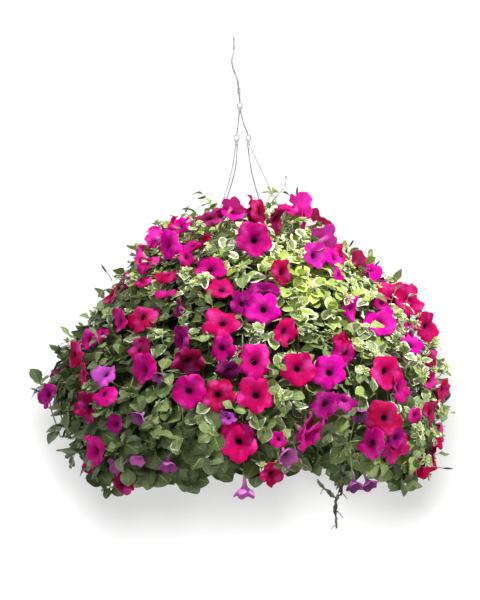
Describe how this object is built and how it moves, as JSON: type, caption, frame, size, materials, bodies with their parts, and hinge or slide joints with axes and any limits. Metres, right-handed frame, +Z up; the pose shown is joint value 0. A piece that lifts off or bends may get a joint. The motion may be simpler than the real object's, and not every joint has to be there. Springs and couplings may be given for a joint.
{
  "type": "petunia hanging basket",
  "caption": "Hanging basket of trailing petunias: a wire hanger with a hook holds a plastic pot of soil under a dome of leafy stems and funnel blooms.",
  "frame": {"origin": "inside of the hook's top, where the basket hangs", "axes": "+Z up, -Y towards the front that the picture shows, +X to the right of that view"},
  "size_m": [0.6283, 0.6455, 0.7297],
  "materials": {
    "hanger_wire": "satin",
    "pot_plastic": "satin",
    "potting_soil": "matte",
    "leaf": "matte",
    "petal": "satin",
    "dead_stem": "matte"
  },
  "bodies": {
    "root": {"hanger_hook": "hanger_wire", "hanger_leg_left": "hanger_wire", "hanger_leg_right": "hanger_wire", "strand_front_left": "hanger_wire", "strand_back_left": "hanger_wire", "strand_back_right": "hanger_wire", "strand_front_right": "hanger_wire", "pot": "pot_plastic", "dead_stem": "dead_stem", "soil": "potting_soil", "leafy_trail_1": "leaf", "leafy_trail_2": "leaf", "leafy_trail_3": "leaf", "leafy_trail_4": "leaf", "leafy_trail_5": "leaf", "leafy_trail_6": "leaf", "leafy_trail_7": "leaf", "leafy_trail_8": "leaf", "leafy_trail_9": "leaf", "leafy_trail_10": "leaf", "leafy_trail_11": "leaf", "leafy_trail_12": "leaf", "leafy_trail_13": "leaf", "leafy_trail_14": "leaf", "leafy_trail_15": "leaf", "leafy_trail_16": "leaf", "leafy_trail_17": "leaf", "leafy_trail_18": "leaf", "leafy_trail_19": "leaf", "leafy_trail_20": "leaf", "leafy_clump_1": "leaf", "leafy_clump_2": "leaf", "leafy_clump_3": "leaf", "leafy_clump_4": "leaf", "flowering_trail_1": "petal", "flowering_trail_2": "petal", "flowering_trail_3": "petal", "flowering_trail_4": "petal", "flowering_trail_5": "petal", "flowering_trail_6": "petal", "flowering_trail_7": "petal", "flowering_trail_8": "petal", "flowering_trail_9": "petal", "flowering_trail_10": "petal", "flowering_trail_11": "petal", "flowering_trail_12": "petal", "flowering_trail_13": "petal", "flowering_trail_14": "petal", "flowering_trail_15": "petal", "flowering_trail_16": "petal", "flowering_trail_17": "petal", "flowering_trail_18": "petal", "flowering_trail_19": "petal", "flowering_trail_20": "petal", "flowering_crown_1": "petal", "flowering_crown_2": "petal", "flowering_crown_3": "petal", "flowering_crown_4": "petal"}
  },
  "joints": []
}
